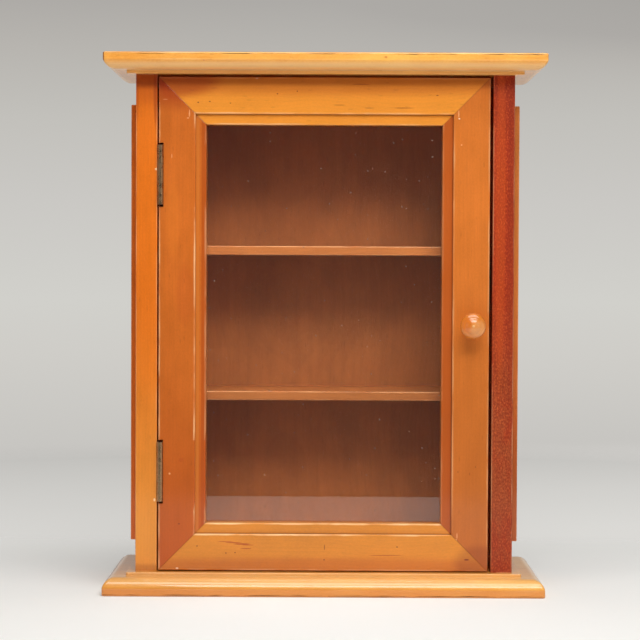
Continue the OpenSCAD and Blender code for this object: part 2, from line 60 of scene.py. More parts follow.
# How far the radius of an eased edge wanders, as a share of it
UNEVEN = 0.35
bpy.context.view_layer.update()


def tone(red, green, blue):
    """Linear colour of an sRGB tone whose parts run from 0 to 255."""
    parts = (red / 255, green / 255, blue / 255)
    return tuple(p / 12.92 if p <= 0.04045 else ((p + 0.055) / 1.055) ** 2.4 for p in parts)


def length_of(name, about, default):
    return FloatProperty(name=name, description=about, default=default, min=0, max=0.05, unit="LENGTH", precision=5)


def share_of(name, about, default):
    return FloatProperty(name=name, description=about, default=default, min=0, max=1, subtype="FACTOR")


def colour_of(name, about, *parts):
    return FloatVectorProperty(name=name, description=about, default=tone(*parts), subtype="COLOR", min=0, max=1)


class CaseSizes(PropertyGroup):
    """Sizes of the pieces that are modelled here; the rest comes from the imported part"""
    arris: length_of("Arris", "Radius of the eased outer edges", 0.8 * MM)
    fine_arris: length_of("Fine arris", "Radius of the edges of the mouldings", 0.45 * MM)
    fillet_height: length_of("Fillet", "Height of the square fillet on the moulded boards", 6 * MM)
    round_width: length_of("Round", "Width of the convex round on the moulded boards", 9.6 * MM)
    step_height: length_of("Step", "Height of the step next to the body", 2.5 * MM)
    step_reach: length_of("Step reach", "Reach of that step past the body", 7 * MM)
    board_corner: length_of("Board corner", "Radius of the moulded boards' front corners, seen from above", 2 * MM)
    sunk_width: length_of("Sunk moulding", "Width of the sunk moulding round the glass", 8.5 * MM)
    sunk_depth: length_of("Sunk depth", "Depth of that moulding", 3 * MM)
    lip: length_of("Lip", "Thickness of the lip in front of the glass", 7 * MM)
    rebate: length_of("Rebate", "Width of the rebate that holds the glass", 7 * MM)
    mitre_groove: length_of("Mitre groove", "Depth of the fine groove along each mitre", 0.12 * MM)
    hinge_notch: length_of("Hinge notch", "Depth of the notches for the hinges, from the stile's edge", 3.5 * MM)


class CaseStains(PropertyGroup):
    """Colours of the stains, the metals and the bare wood"""
    board: colour_of("Boards", "Stain of the top and base boards", 255, 190, 92)
    board_deep: colour_of("Boards, deep", "Darker streaks of that stain", 232, 152, 62)
    left_side: colour_of("Left side", "Stain of the left side", 236, 119, 24)
    # This paler foot is painted light, bounced up from the pale floor.
    left_foot_painted_bounce: colour_of("Left side, foot", "Paler stain at the foot of the left side", 230, 147, 54)
    right_side: colour_of("Right side", "Stain of the right side, much redder", 178, 56, 8)
    right_foot: colour_of("Right side, foot", "Duller stain at the foot of the right side", 170, 76, 34)
    left_stile: colour_of("Left stile", "Stain of the door's left stile", 214, 110, 34)
    left_stile_foot: colour_of("Left stile, foot", "Redder stain at its foot", 194, 88, 18)
    right_stile: colour_of("Right stile", "Stain of the door's right stile", 218, 119, 42)
    right_stile_foot: colour_of("Right stile, foot", "Duller stain at its foot", 202, 109, 38)
    rail: colour_of("Rails", "Stain of the door's rails", 245, 153, 50)
    shelf: colour_of("Shelves", "Stain of the shelves", 208, 121, 60)
    back: colour_of("Back", "Dark stain of the back panel", 184, 107, 52)
    knob: colour_of("Knob", "Stain of the knob", 226, 130, 42)
    # Also the tone of the painted highlights on the edges and down the hinge barrels.
    worn: colour_of("Worn edges", "Bare tone where the edges are rubbed", 255, 206, 150)
    brass: colour_of("Brass", "Aged brass of the hinges", 190, 150, 110)
    steel: colour_of("Steel", "Plated steel of the screws and plates", 172, 170, 166)


class CaseWear(PropertyGroup):
    """How worn and dusty the case is"""
    # It also scales the painted highlight on the edges, which shares the worn tone.
    edges: share_of("Edge wear", "How far the stain is rubbed off the edges", 0.45)
    dust: share_of("Dust", "How much dust lies on the glass", 0.5)
    tarnish: share_of("Tarnish", "How much tarnish the hinges have", 0.6)


class CaseStage(PropertyGroup):
    """Camera, lamps and floor"""
    lens: FloatProperty(name="Lens", description="Focal length in millimetres", default=105.17, min=10, max=300)
    key: FloatProperty(name="Key lamp", description="Power of the large lamp in front", default=15, unit="POWER")
    top: FloatProperty(name="Top lamp", description="Power of the lamp overhead", default=12, unit="POWER")
    fill: FloatProperty(name="Fill lamps", description="Power of each low lamp", default=1.0, unit="POWER")
    room: share_of("Room light", "Level of the light from all round", 0.2)
    floor: colour_of("Floor", "Tone of the floor", 246, 246, 242)


def maths(operation, swap=False):
    """A method that adds a Math node, with its terms swapped for the reflected forms."""
    return lambda self, *others: self.nodes.calc(operation, *((*others, self) if swap else (self, *others)))


class Value:
    """An output of a node. Python's operators on a number add Math nodes."""
    __add__, __radd__ = maths("ADD"), maths("ADD", True)
    __sub__, __rsub__ = maths("SUBTRACT"), maths("SUBTRACT", True)
    __mul__, __rmul__ = maths("MULTIPLY"), maths("MULTIPLY", True)
    __pow__, __rpow__ = maths("POWER"), maths("POWER", True)
    __lt__, __gt__ = maths("LESS_THAN"), maths("LESS_THAN", True)
    __abs__, least, most, fract = maths("ABSOLUTE"), maths("MINIMUM"), maths("MAXIMUM"), maths("FRACT")

    def __init__(self, nodes, socket):
        self.nodes, self.socket = nodes, socket

    def clamp(self):
        return self.nodes.node("ShaderNodeClamp", {}, {0: self})

    def rise(self, low, high):
        """Smooth step from 0 at low to 1 at high."""
        return self.nodes.node("ShaderNodeMapRange", {"interpolation_type": "SMOOTHSTEP"}, {0: self, 1: low, 2: high})


class Nodes:
    """The node tree of a material or of the world."""

    def __init__(self, owner):
        owner.use_nodes = True
        self.owner, self.tree = owner, owner.node_tree
        self.tree.nodes.clear()

    def node(self, kind, settings=None, sockets=None, outputs=0):
        """Adds a node, sets its settings first and then the values or links of its sockets. Gives the output that is
        asked for, or a list where several are."""
        made = self.tree.nodes.new(kind)
        for key, value in (settings or {}).items():
            if key == "stops":
                ramp = made.color_ramp.elements
                while len(ramp) < len(value):
                    ramp.new(1)
                for stop, (position, colour) in zip(ramp, value):
                    stop.position, stop.color = position, (*colour, 1)
            else:
                setattr(made, key, value)
        for key, value in (sockets or {}).items():
            socket = made.inputs[key]
            if isinstance(value, Value):
                self.tree.links.new(value.socket, socket)
            else:
                socket.default_value = (*value[:3], 1) if socket.type == "RGBA" else value
        if isinstance(outputs, (int, str)):
            return Value(self, made.outputs[outputs])
        return [Value(self, made.outputs[output]) for output in outputs]

    def calc(self, operation, *terms):
        return self.node("ShaderNodeMath", {"operation": operation}, dict(enumerate(terms)))

    def place(self):
        """Object coordinates in metres, as a vector and as three values."""
        vector = self.node("ShaderNodeTexCoord", outputs="Object")
        return vector, *self.node("ShaderNodeSeparateXYZ", {}, {0: vector}, range(3))

    def vector(self, x, y, z):
        return self.node("ShaderNodeCombineXYZ", {}, {0: x, 1: y, 2: z})

    def noise(self, vector, scale=1, detail=2, roughness=0.5):
        sockets = {"Vector": vector, "Scale": scale, "Detail": detail, "Roughness": roughness}
        return self.node("ShaderNodeTexNoise", {}, sockets)

    def cells(self, vector, scale):
        """Distance to the nearest of many scattered points, and a random number for each point."""
        sockets = {"Vector": vector, "Scale": scale}
        distance, colour = self.node("ShaderNodeTexVoronoi", {}, sockets, ("Distance", "Color"))
        return distance, self.node("ShaderNodeSeparateColor", {}, {0: colour})

    def mix(self, share, first, second):
        """Colour between two colours."""
        return self.node("ShaderNodeMix", {"data_type": "RGBA"}, {0: share, 6: first, 7: second}, 2)

    def attribute(self, name):
        return self.node("ShaderNodeAttribute", {"attribute_name": name}, outputs="Fac")

    def spot(self, vector, centre, size):
        """1 inside a soft ellipsoid and 0 outside: one less the smooth step of the scaled distance."""
        shifted = self.node("ShaderNodeVectorMath", {"operation": "SUBTRACT"}, {0: vector, 1: centre})
        scaled = self.node("ShaderNodeVectorMath", {"operation": "DIVIDE"}, {0: shifted, 1: size})
        return 1 - self.node("ShaderNodeVectorMath", {"operation": "LENGTH"}, {0: scaled}, "Value").rise(0.55, 1)

    def box_edges(self, x, y, z, low, high, width):
        """1 along the edges of a box: at a point on its surface, the middle one of the distances to the nearest
        faces along x, y and z is the distance to the nearest edge."""
        a, b, c = (abs(p - lo).least(abs(p - hi)) for p, lo, hi in zip((x, y, z), low, high))
        return 1 - a.least(b).most(a.most(b).least(c)).rise(0, width)

    def bump(self, height, strength, distance):
        return self.node("ShaderNodeBump", {}, {"Strength": strength, "Distance": distance, "Height": height})

    def principled(self, **sockets):
        named = {key.replace("_", " "): value for key, value in sockets.items()}
        return self.node("ShaderNodeBsdfPrincipled", {}, named)

    def finish(self, shader, kind="Material"):
        """Ends the tree in its output and gives back what it belongs to."""
        self.node("ShaderNodeOutput" + kind, {}, {"Surface": shader}, ())
        return self.owner


def material_nodes(name):
    return Nodes(bpy.data.materials.new(name))


def lie(along, x, y, z):
    """The coordinate along the grain, then the two across it."""
    return {"x": (x, y, z), "y": (y, x, z), "z": (z, x, y)}[along]


def darker(colour, share):
    return tuple(c * (1 - share) for c in colour)


def between(first, second, share):
    return tuple(a + (b - a) * share for a, b in zip(first, second))


def stain_pair(light, deep):
    """A stain and its darker streaks, which are given as a colour or as how much darker they are."""
    return light, darker(light, deep) if isinstance(deep, float) else deep


def marks(*groups):
    """Single soft marks, in the order in which they are laid on. A group is a colour, a strength and then places: x
    and z, half the width and half the height, and off the door's face the depth and half the thickness too, all in
    millimetres."""
    def place(x, z, width, height, depth=FACE, thick=2):
        return (x * MM, depth * MM, z * MM), (width * MM, thick * MM, height * MM)

    return [(*place(*at), colour, strength) for colour, strength, *places in groups for at in places]


def wood(name, light, deep, along="z", seed=0, sheen=0.34, figure=0.16, edges=None, marked=(), red=None, drift=None,
         coat=0.45, rubbed=1.0, polish=0.1):
    """Stained and lacquered wood. Growth rings round a pith behind the board, fibres and pores drawn out along the
    grain, blotches of stain, pale edges that are worn and painted highlight, and single marks. deep is the colour of
    the darker streaks, or how much darker they are. drift holds two places along the grain and the colour that rules
    before them, as light and deep. edges names the CAD node whose edges wear, rubbed scales the pale paint on the
    edges, which is wear and painted highlight, and polish is the roughness of the lacquer."""
    light, deep = stain_pair(light, deep)
    wear, stains = bpy.context.scene.case_wear, bpy.context.scene.case_stains
    n = material_nodes(name)
    place, x, y, z = n.place()
    run, a, b = lie(along, x, y, z)
    shift = 0.731 * seed

    def drawn(across, down, swap=False):
        """Place at one scale across the grain and another along it, moved aside by the board's own shift."""
        first, second = (a * across, b * across + shift) if swap else (a * across + shift, b * across)
        return n.vector(first, second, run * down)

    # Growth rings: the distance from the pith, pushed about by a slow noise
    warp = n.noise(drawn(16, 3.2)) - 0.5
    slow = n.noise(drawn(3, 9, True), detail=1) - 0.5
    ring = (((a + 0.031 + warp * 0.022) ** 2 + (b + 0.055 + slow * 0.03) ** 2) ** 0.5) * 340
    late = (ring + warp * 1.6).fract() ** 3
    # Fibres, streaks, pores and flecks
    fibre = n.noise(drawn(820, 20), detail=3, roughness=0.6)
    streak = n.noise(drawn(150, 5, True))
    pore = n.noise(drawn(1300, 150), detail=1).rise(0.64, 0.74)
    cell, chance = n.cells(drawn(330, 95), 1)
    fleck = (1 - cell.rise(0.06, 0.3)) * (chance < 0.13)
    # Blotches of stain
    blotch = n.noise(drawn(13, 6), detail=3, roughness=0.55)
    mottle = n.noise(drawn(70, 38, True))
    fine = n.noise(drawn(900, 560))
    lightness = ((blotch - 0.5) * 1.4 + (streak - 0.5) * 0.6 + (fibre - 0.5) * 0.45 + (mottle - 0.5) * 0.9
                 + (fine - 0.5) * 0.7 + 0.62).clamp()
    colour = n.mix(lightness, deep, light)
    if drift is not None:
        gone = (run + (blotch - 0.5) * 0.08).rise(*drift[:2])
        colour = n.mix(gone, n.mix(lightness, *reversed(stain_pair(*drift[2:]))), colour)
    colour = n.mix(late * (figure * 0.55), colour, darker(deep, 0.35))
    colour = n.mix(pore * (figure * 0.5), colour, darker(deep, 0.55))
    colour = n.mix(fleck * 0.2, colour, darker(deep, 0.6))
    if red is not None:
        patch = n.noise(drawn(40, 17), detail=5, roughness=0.75).rise(0.42, 0.64)
        colour = n.mix(patch * 0.6, colour, red)
        colour = n.mix((1 - fine).rise(0.46, 0.62) * 0.5, colour, darker(red, 0.45))
        colour = n.mix(fine.rise(0.54, 0.68) * 0.4, colour, tone(218, 100, 44))
    # Pale edges, broken up along their length: worn stain, and painted highlight where the edges catch the lamps
    if edges is None:
        edge = n.attribute("arris") ** 2
    else:
        edge = n.box_edges(x, y, z, *corners_of(edges), 1.3 * MM)
    rub = n.noise(drawn(60, 34, True), detail=3).rise(0.3, 0.68)
    worn = (edge * rub * (wear.edges * rubbed)).clamp()
    colour = n.mix(worn, colour, between(light, stains.worn, 0.75))
    # Darker in the hollow inner corners of the mouldings: partly dirt, partly painted crease shade.
    colour = n.mix(n.attribute("dirt") ** 3 * 0.7, colour, darker(deep, 0.8))
    colour = n.mix(n.attribute("seam") * 0.4, colour, darker(deep, 0.72))
    # Single marks: stain, chips and dents, and among them painted shade, painted highlight and painted reflection.
    for centre, size, mark_colour, strength in marked:
        colour = n.mix(n.spot(place, centre, size) * strength, colour, mark_colour)
    rough = (fibre - 0.5) * 0.14 + (mottle - 0.5) * 0.12 + worn * 0.2 + pore * 0.08 + sheen
    # The lacquer's slow ripple and fine peel, over the grain
    ripple = n.noise(drawn(55, 22), detail=1)
    peel = n.noise(place, 620, detail=1)
    height = fibre * 0.16 - pore * 0.3 - fleck * 0.35 + peel * 0.05 + ripple * 0.85 - late * 0.08
    return n.finish(n.principled(Base_Color=colour, Roughness=rough.clamp(), Specular_IOR_Level=0.25, Coat_Weight=coat,
                                 Coat_Roughness=polish, Normal=n.bump(height, 0.6, 0.16 * MM)))


def brass(name, seed=0):
    """Aged brass: dull metal under brown tarnish that is thickest in blotches, with fine rubbed lines and two painted
    highlights down the barrel.
    """
    stains, wear = bpy.context.scene.case_stains, bpy.context.scene.case_wear
    n = material_nodes(name)
    place, x, y, z = n.place()
    tarnish = n.noise(place, 190 + seed, detail=4, roughness=0.65).rise(0.36, 0.68)
    lines = n.noise(n.vector(x * 2600, y * 2600, z * 90 + seed))
    colour = n.mix((lines * 0.6 + 0.2).clamp(), darker(stains.brass, 0.42), stains.brass)
    colour = n.mix(tarnish * wear.tarnish, colour, tone(112, 88, 60))
    # Two painted highlights down the front of the barrel, as thin pale lines
    for place_x in (-133.9 * MM, -130.9 * MM):
        colour = n.mix((1 - (x - place_x) ** 2 * 5e6).most(0) * 0.4, colour, between(stains.brass, stains.worn, 0.4))
    return n.finish(n.principled(Base_Color=colour, Roughness=tarnish * 0.16 + lines * 0.12 + 0.16,
                                 Metallic=0.92 - tarnish * 0.4,
                                 Normal=n.bump(lines * 0.5 + tarnish * 0.4, 0.35, 0.05 * MM)))


def plated(name, colour, along="z", seed=0, rough=0.3, dull=0.0):
    """Plated or bare steel with fine drawn lines and a few dull spots."""
    n = material_nodes(name)
    place, *across = n.place()
    run, a, b = lie(along, *across)
    lines = n.noise(n.vector(a * 3000 + seed, b * 3000, run * 120))
    spots = n.noise(place, 420 + seed, detail=3).rise(0.55, 0.75)
    shade = n.mix(spots * (0.35 + dull), n.mix(lines, darker(colour, 0.25), colour), darker(colour, 0.7))
    return n.finish(n.principled(Base_Color=shade, Roughness=lines * 0.15 + spots * 0.25 + rough,
                                 Metallic=0.95 - spots * 0.4, Normal=n.bump(lines + spots * 0.5, 0.25, 0.03 * MM)))


def moulded_plastic(name, colour):
    """Moulded plastic: fine grain, slight yellowing in blotches."""
    n = material_nodes(name)
    place = n.place()[0]
    grain, age = n.noise(place, 2600), n.noise(place, 90)
    shade = n.mix((age * 0.5 + grain * 0.2).clamp(), colour, between(colour, tone(190, 160, 110), 0.5))
    return n.finish(n.principled(Base_Color=shade, Roughness=grain * 0.15 + 0.42, Normal=n.bump(grain, 0.3, 0.03 * MM)))


def sintered(name, colour):
    """Sintered magnet: dark grey, rough and speckled."""
    n = material_nodes(name)
    grain = n.noise(n.place()[0], 3400, detail=3, roughness=0.7)
    shade = n.mix(grain.rise(0.35, 0.7), darker(colour, 0.5), colour)
    return n.finish(n.principled(Base_Color=shade, Roughness=grain * 0.2 + 0.6, Normal=n.bump(grain, 0.5, 0.05 * MM)))


def pane(name, low, high):
    """Clear glass that lets lamps through, with dust specks and a faint film on its front face, thicker near the
    edges of the sight opening."""
    n = material_nodes(name)
    place, x, y, z = n.place()
    inset = abs(x - low[0]).least(abs(x - high[0])).least(abs(z - low[2]).least(abs(z - high[2])))
    rim = 1 - inset.rise(6 * MM, 24 * MM)
    front = y < (low[1] + high[1]) / 2
    cell, chance = n.cells(place, 290)
    patch = n.noise(place, 34, detail=3)
    speck = (1 - cell.rise(0.08, 0.24)) * (chance < (patch * 0.16 + rim * 0.16 - 0.03))
    smear = n.noise(n.vector(x * 26, y, z * 9), detail=4, roughness=0.62).rise(0.45, 0.8)
    dust = (speck * 0.5 + smear * 0.006 + rim * 0.008) * front * (bpy.context.scene.case_wear.dust * 2)
    tint = (0.96, 0.97, 0.96)
    glass = n.principled(Base_Color=tint, Roughness=0.01, IOR=1.54, Transmission_Weight=1.0)
    film = n.node("ShaderNodeBsdfDiffuse", {}, {"Color": tone(190, 170, 150)})
    dusty = n.node("ShaderNodeMixShader", {}, {0: dust.clamp(), 1: glass, 2: film})
    clear = n.node("ShaderNodeBsdfTransparent", {}, {"Color": tint})
    lamp = n.node("ShaderNodeLightPath", outputs="Is Shadow Ray")
    return n.finish(n.node("ShaderNodeMixShader", {}, {0: lamp, 1: dusty, 2: clear}))


def wander(along, lanes, seed, span=0.06):
    """Slow rise and fall along a length, from -1 to 1, one column for each lane: the mean of three sines whose
    lengths are shares of the span and whose phases are random."""
    rng = np.random.default_rng(seed)
    phase = rng.uniform(0, 2 * np.pi, (3, lanes))
    pitch = span * np.array([1, 0.47, 0.23])[:, None, None]
    waves = np.sin(2 * np.pi * np.asarray(along)[None, :, None] / pitch + phase[:, None, :])
    return waves.mean(0)


def guarded(corners, reach=1.8 * MM):
    """Closed outline with a sharp point added a little way from each rounded corner, or halfway along a short side,
    so that a measure that is 1 on the corner has faded there."""
    outline = []
    for here, ahead in zip(corners, corners[1:] + corners[:1]):
        outline.append(here)
        length = math.dist(here[:2], ahead[:2])
        stops = []
        if length > 2.4 * reach:
            stops = [stop for stop, corner in ((reach, here), (length - reach, ahead)) if corner[2]]
        elif (here[2] or ahead[2]) and length > 3 * max(here[2], ahead[2]):
            stops = [length / 2]
        for stop in stops:
            share = stop / length
            outline.append((here[0] + (ahead[0] - here[0]) * share, here[1] + (ahead[1] - here[1]) * share, 0))
    return outline


def eased(corners, segments=4):
    """Closed outline whose corners (x, y, radius) are rounded: an arc of that radius touches both sides. Returns for
    each point the corner that it belongs to, its offset from it, the corner's number, and its bend: 1 on a rounded
    edge, -1 in a rounded hollow and 0 elsewhere."""
    xy = np.array([c[:2] for c in corners], float)
    back, ahead = np.roll(xy, 1, 0) - xy, np.roll(xy, -1, 0) - xy
    back /= np.linalg.norm(back, axis=1)[:, None]
    ahead /= np.linalg.norm(ahead, axis=1)[:, None]
    half = np.arccos(np.clip((back * ahead).sum(1), -1, 1)) / 2
    area = (xy[:, 0] * np.roll(xy[:, 1], -1) - xy[:, 1] * np.roll(xy[:, 0], -1)).sum()
    turn = np.sign((back[:, 1] * ahead[:, 0] - back[:, 0] * ahead[:, 1]) * area)
    t = np.linspace(0, 1, segments + 1)[:, None]
    anchors, offsets, lane, bend = [], [], [], []
    for i, corner in enumerate(corners):
        radius = corner[2]
        if radius:
            bisector = back[i] + ahead[i]
            centre = bisector / np.linalg.norm(bisector) * radius / np.sin(half[i])
            first = back[i] * radius / np.tan(half[i]) - centre
            last = ahead[i] * radius / np.tan(half[i]) - centre
            sweep = np.pi - 2 * half[i]
            arc = centre + (np.sin((1 - t) * sweep) * first + np.sin(t * sweep) * last) / np.sin(sweep)
        else:
            arc = np.zeros((1, 2))
        anchors.append(np.repeat(xy[i:i + 1], len(arc), 0))
        offsets.append(arc)
        lane += [i] * len(arc)
        bend += [turn[i] if radius else 0] * len(arc)
    return np.concatenate(anchors), np.concatenate(offsets), np.array(lane), np.array(bend)


def arc_points(centre, radius, start, end, count):
    """Points on a circle between two angles in degrees, as corners that stay sharp."""
    angle = np.radians(np.linspace(start, end, count))
    return [(centre[0] + radius * math.cos(a), centre[1] + radius * math.sin(a), 0) for a in angle]


def ring_faces(rings, points, closed=True):
    """Quads between neighbouring rings of points, numbered ring by ring."""
    i = np.arange(points if closed else points - 1)
    j = np.arange(rings - 1)[:, None]
    k = (i + 1) % points
    quads = np.stack([j * points + i, j * points + k, (j + 1) * points + k, (j + 1) * points + i], -1)
    return quads.reshape(-1, 4).tolist()


def new_piece(name, points, faces, material, body, nodes, measures=None):
    """Puts points and faces into a mesh, closes its seams, turns its faces outwards, marks its sharp edges and
    lets it ride on its body in place of the CAD nodes."""
    mesh = bpy.data.meshes.new(name)
    mesh.from_pydata(np.asarray(points).reshape(-1, 3).tolist(), [], faces)
    for key, values in (measures or {}).items():
        layer = mesh.attributes.new(key, "FLOAT", "POINT")
        layer.data.foreach_set("value", np.asarray(values, np.float32).ravel())
    shell = bmesh.new()
    shell.from_mesh(mesh)
    bmesh.ops.remove_doubles(shell, verts=shell.verts, dist=0.0005 * MM)
    bmesh.ops.recalc_face_normals(shell, faces=shell.faces)
    shell.to_mesh(mesh)
    shell.free()
    mesh.shade_smooth()
    mesh.set_sharp_from_angle(angle=math.radians(32))
    piece = bpy.data.objects.new(name, mesh)
    bpy.context.scene.collection.objects.link(piece)
    mesh.materials.append(material)
    even = piece.modifiers.new("even shading", "WEIGHTED_NORMAL")
    even.keep_sharp = True
    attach(piece, body)
    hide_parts(*nodes)
    return piece


def dress(material, *nodes):
    """Gives CAD nodes whose shape is right a finished material."""
    for node in nodes:
        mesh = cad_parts[node].data
        mesh.materials.clear()
        mesh.materials.append(material)


def dress_wood(node, name, light, deep, along, seed, **looks):
    """Gives one CAD node a wood of its own, worn along the edges of its box."""
    dress(wood(name, light, deep, along, seed, edges=node, **looks), node)


def corners_of(node):
    low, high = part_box(node)
    return tuple(low), tuple(high)


def member_outline(sizes, width, depth):
    """Section of a stile or rail, from the outer edge inwards and from the front backwards: eased outer arris, flat
    face, square sunk moulding round the glass, lip, and the rebate for the glass."""
    step, sunk = width - sizes.sunk_width, sizes.sunk_depth
    seat, fine = sunk + sizes.lip, sizes.fine_arris
    return guarded([(0, depth, fine), (0, 0, sizes.arris), (step, 0, 1.2 * sizes.arris), (step, sunk, 0.3 * fine),
                    (width, sunk, 1.2 * sizes.arris), (width, seat, 0.5 * fine), (width - sizes.rebate, seat, 0),
                    (width - sizes.rebate, depth, 0.5 * fine)])


def stick(name, sizes, length, width, depth, axes, material, node, seed, notches=()):
    """A moulded stick with mitred ends. Its section runs along its length; the rings near each end lean at 45 degrees,
    so a ring's place along the length is its station plus or minus the distance from the outer edge. The last ring
    is drawn in by the depth of the mitre groove."""
    outline = member_outline(sizes, width, depth)
    # Depths of a hinge's notch and of its part in front, which is a little wider, and the step between two levels
    notch_depth, wide_depth, widening, tiny = 12.6 * MM, 1.8 * MM, 0.3 * MM, 0.004 * MM
    if notches:
        cuts = [(0, v + s * tiny, 0) for v in (notch_depth, wide_depth) for s in (1, -1)]
        first = [corner[:2] for corner in outline].index((0, 0))
        outline[1:first] = sorted([*outline[1:first], *cuts], key=lambda corner: -corner[1])
    anchors, offsets, lane, bend = eased(outline)
    body = np.linspace(width + 1 * MM, length - width - 1 * MM, 40)
    body = np.sort(np.concatenate([body, np.repeat([w for pair in notches for w in pair], 2)]))
    lip = 0.3 * MM
    station = np.concatenate([[0, lip, 4 * lip], body, [length - 4 * lip, length - lip, length]])
    lean = np.concatenate([[1, 1, 1], np.zeros(len(body)), [-1, -1, -1]])
    cut = np.zeros(len(station), bool)
    for low, high in notches:
        cut[np.flatnonzero((station >= low) & (station <= high))[1:-1]] = True
    wave = 1 + UNEVEN * wander(station, len(outline), seed)[:, lane]
    uv = anchors[None] + offsets[None] * wave[:, :, None]
    tangent = np.roll(anchors + offsets, -1, 0) - np.roll(anchors + offsets, 1, 0)
    inward = np.stack([-tangent[:, 1], tangent[:, 0]], -1)
    uv[[0, -1]] += inward / np.linalg.norm(inward, axis=1)[:, None] * sizes.mitre_groove
    u, v = uv[..., 0].copy(), uv[..., 1]
    for level, floor in ((notch_depth, sizes.hinge_notch), (wide_depth, sizes.hinge_notch + widening)):
        part = cut[:, None] & (v < level)
        u[part] = np.maximum(u[part], floor)
    w = station[:, None] + lean[:, None] * u
    origin, *directions = (np.array(axis, float) for axis in axes)
    points = origin + sum(value[..., None] * direction for value, direction in zip((u, v, w), directions))
    rings, count = u.shape
    faces = ring_faces(rings, count)
    faces += [list(range(count)), list(range((rings - 1) * count, rings * count))]
    seam = np.zeros(u.shape)
    seam[[0, 1, -2, -1]] = np.array([1, 0.6, 0.6, 1])[:, None]
    # Hollow inner corners are marked for darkening: dirt and painted crease shade.
    measures = {"arris": (bend > 0) & ~cut[:, None], "dirt": np.broadcast_to(bend < 0, u.shape), "seam": seam}
    return new_piece(name, points, faces, material, "door", [node], measures)


def mould_outline(sizes, thick, reach):
    """Section of a moulded board: reach past the body and height from the outer face. Square fillet, convex round,
    ledge and step, between two points inside the board that aren't used."""
    inside = -20 * MM
    step_z = thick - sizes.step_height
    round_h = step_z - sizes.fillet_height
    radius = (sizes.round_width ** 2 + round_h ** 2) / (2 * round_h)
    low_angle = math.degrees(math.asin((radius - round_h) / radius))
    curve = arc_points((reach - sizes.round_width, step_z - radius), radius, low_angle, 90, 11)
    curve[0] = (*curve[0][:2], 0.6 * sizes.fine_arris)
    return guarded([(inside, 0, 0), (reach, 0, 1.8 * sizes.arris), *curve,
                    (sizes.step_reach, step_z, 0.3 * sizes.fine_arris), (sizes.step_reach, thick, sizes.fine_arris),
                    (inside, thick, 0)], 1.2 * MM)


def moulded_board(name, sizes, node, body_box, upward, material, seed, holes=()):
    """A board whose moulding runs round its front and both ends. Each point of the section is carried along the left
    end, the front and the right end, as far out as its reach, and turns each front corner on a small arc. Flat
    faces close the rear, the outer face, with any screw holes, and the inner face."""
    low, high = corners_of(node)
    outline = mould_outline(sizes, high[2] - low[2], body_box[0][1] - low[1])
    anchors, offsets, lane, bend = (part[1:-1] for part in eased(outline))
    # Weights of each station: of the body's half width and reach for x, of its front and reach for y, and of the
    # radius of the corner for both
    end, arc, run = np.linspace(0, 1, 14), np.linspace(0, 0.5 * np.pi, 7), np.linspace(-1, 1, 48)
    beside = np.ones(len(end) + len(arc))
    weights = np.stack([np.concatenate([-beside, run, beside]),
                        np.concatenate([end, np.ones(2 * len(arc) + len(run)), 1 - end]),
                        np.concatenate([0 * end, 1 - np.cos(arc), -run, np.sin(arc) - 1, 0 * end]),
                        np.concatenate([end, 1 - np.sin(arc), 0 * run, 1 - np.cos(arc), 1 - end])])
    across, forward, turn_x, turn_y = weights[..., None]
    wave = 1 + UNEVEN * wander(np.linspace(0, 0.55, len(across)), len(outline), seed)[:, lane]
    out, height = (anchors[:, i] + offsets[:, i] * wave for i in (0, 1))
    x = across * (body_box[1][0] + out) + turn_x * sizes.board_corner
    y = forward * (body_box[0][1] - out) + (1 - forward) * high[1] + turn_y * sizes.board_corner
    z = low[2] + height if upward else high[2] - height
    rings, count = out.shape
    points = np.stack([x, y, z], -1).reshape(-1, 3)
    faces = ring_faces(rings, count, closed=False)
    faces.append(list(range(count)) + list(range(rings * count - 1, (rings - 1) * count - 1, -1)))
    faces.append(list(range(count - 1, rings * count, count)))
    loops = [list(range(0, rings * count, count))]
    # Radius and height of the rings of a counterbore for a screw, in millimetres
    bore, sides = np.array([(4.05, 0), (4.05, 1.5), (2.05, 3.5)]) * MM, 32
    angle = np.linspace(0, 2 * np.pi, sides, endpoint=False)
    for centre in holes:
        used = len(points)
        flat = np.array(centre) + bore[:, :1, None] * np.stack([np.cos(angle), np.sin(angle)], -1)
        level = low[2] + np.broadcast_to(bore[:, 1:, None], (len(bore), sides, 1))
        points = np.concatenate([points, np.concatenate([flat, level], -1).reshape(-1, 3)])
        faces += (np.array(ring_faces(len(bore), sides)) + used).tolist()
        faces.append(list(range(len(points) - sides, len(points))))
        loops.append(list(range(used, used + sides)))
    if holes:
        order = [i for loop in loops for i in loop]
        triangles = tessellate_polygon([[points[i].tolist() for i in loop] for loop in loops])
        faces += [[order[i] for i in triangle] for triangle in triangles]
    else:
        faces += loops
    bends = np.zeros(len(points))
    bends[:rings * count] = np.tile(bend, rings)
    # Hollow inner corners are marked for darkening: dirt and painted crease shade.
    measures = {"arris": bends > 0, "dirt": 0.7 * (bends < 0)}
    return new_piece(name, points, faces, material, "cabinet", [node], measures)


def board_box():
    """Box of the body between the two moulded boards: both sides with what lies between them."""
    left, right = corners_of("left_side"), corners_of("right_side")
    return left[0], right[1]


